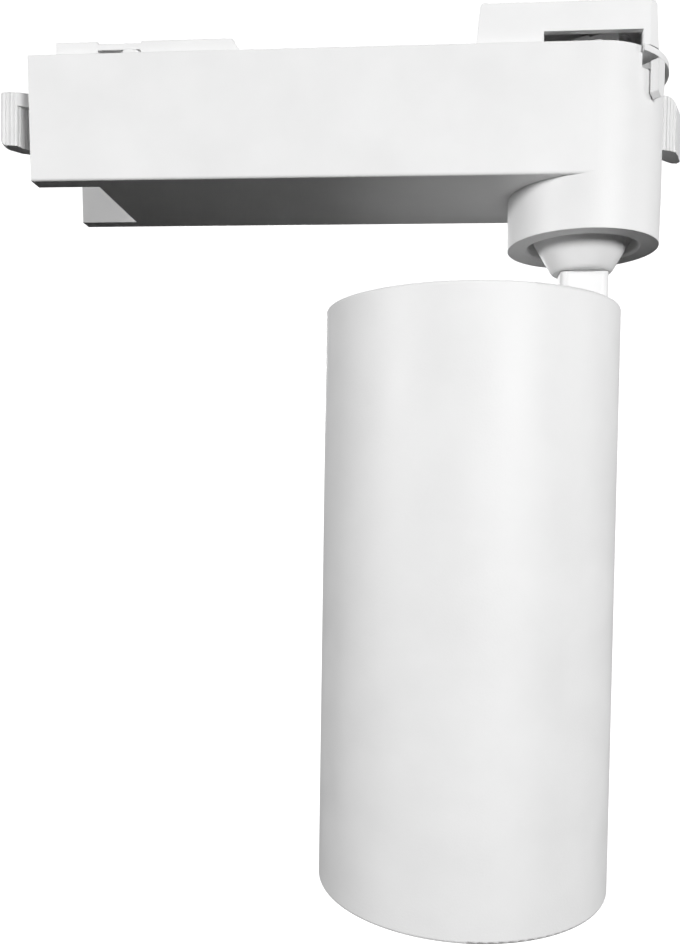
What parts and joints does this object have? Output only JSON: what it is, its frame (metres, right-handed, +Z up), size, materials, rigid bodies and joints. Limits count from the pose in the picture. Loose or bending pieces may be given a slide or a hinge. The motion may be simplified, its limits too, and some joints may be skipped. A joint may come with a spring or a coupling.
{
  "type": "track spotlight",
  "caption": "White track spotlight: a slim driver box with lock levers and contact head for a ceiling track, a swivel cone and arm, and a tilting cylindrical lamp.",
  "frame": {"origin": "on the swivel axis, in the plane where the driver box seats against the track", "axes": "+Z up into the track, along the swivel axis; -X along the driver box to its forked end; -Y is the front"},
  "size_m": [0.1653, 0.071, 0.2066],
  "materials": {
    "housing_plastic": "fine satin moulded texture",
    "lever_plastic": "satin moulded",
    "contact_plastic": "satin moulded",
    "lamp_paint": "fine powder coat",
    "contact_metal": "silver-plated spring strip",
    "pcb": "solder mask",
    "steel": "zinc plated",
    "ferrite": "sintered",
    "winding_tape": "polyester tape",
    "capacitor_sleeve": "shrink sleeve",
    "film_box": "moulded box",
    "copper_wire": "enamelled copper",
    "component_black": "moulded epoxy",
    "terminal_green": "moulded",
    "wire_insulation": "extruded",
    "brass": "stamped",
    "nylon_black": "moulded",
    "aluminium": "extruded and machined",
    "led_substrate": "white solder mask",
    "phosphor": "phosphor gel",
    "mirror_metal": "vacuum metallised",
    "glass": "clear",
    "bezel_black": "matt anti-glare"
  },
  "bodies": {
    "adapter": {"adapter_housing": "housing_plastic", "top_cover": "housing_plastic", "contact_head": "contact_plastic", "lever_shelf": "housing_plastic", "driver_pcb": "pcb", "pcb_screws": "steel", "transformer_core": "ferrite", "transformer_winding": "winding_tape", "electrolytic_capacitors": "capacitor_sleeve", "film_capacitor": "film_box", "emi_choke": "copper_wire", "bridge_rectifier": "component_black", "input_fuse": "component_black", "input_terminal": "terminal_green", "output_terminal": "terminal_green", "input_wires": "wire_insulation", "output_wires": "wire_insulation", "circuit_pads": "brass", "swivel_bush": "nylon_black"},
    "left_lock": {"left_lock_lever": "lever_plastic", "left_lock_spindle": "contact_plastic"},
    "right_lock": {"right_lock_lever": "lever_plastic", "right_lock_spindle": "contact_plastic", "contact_rotor": "contact_plastic", "contact_blades": "contact_metal"},
    "selector": {"selector_ring": "lever_plastic", "selector_wiper": "brass"},
    "swivel": {"friction_washer": "nylon_black", "stop_washer": "steel", "spring_washer": "steel", "lock_nut": "steel", "swivel_cone": "lamp_paint", "lamp_arm": "lamp_paint", "arm_leads": "wire_insulation"},
    "lamp": {"lamp_body": "lamp_paint", "rear_cap": "lamp_paint", "cap_screws": "steel", "hinge_bracket": "steel", "hinge_bolt": "steel", "hinge_nut": "steel", "hinge_washers": "nylon_black", "heatsink": "aluminium", "led_board": "led_substrate", "led_emitter": "phosphor", "led_holder": "contact_plastic", "holder_screws": "steel", "reflector": "mirror_metal", "lens_glass": "glass", "front_bezel": "bezel_black", "led_leads": "wire_insulation"}
  },
  "joints": [
    {"name": "left_lock_turn", "type": "hinge", "parent": "adapter", "child": "left_lock", "pos_m": [-0.1104, 0, -0.0121], "axis": [0, 0, -1], "range_deg": [0, 36]},
    {"name": "right_lock_turn", "type": "hinge", "parent": "adapter", "child": "right_lock", "pos_m": [0, 0, -0.0121], "axis": [0, 0, 1], "range_deg": [0, 40]},
    {"name": "selector_turn", "type": "hinge", "parent": "adapter", "child": "selector", "pos_m": [0, 0, -0.0036], "axis": [0, 0, 1], "range_deg": [0, 30]},
    {"name": "swivel_turn", "type": "hinge", "parent": "adapter", "child": "swivel", "pos_m": [0, 0, -0.035], "axis": [0, 0, 1], "range_deg": [-170, 170]},
    {"name": "lamp_tilt", "type": "hinge", "parent": "swivel", "child": "lamp", "pos_m": [0.00042, 0, -0.0749], "axis": [0, -1, 0], "range_deg": [0, 90]}
  ]
}
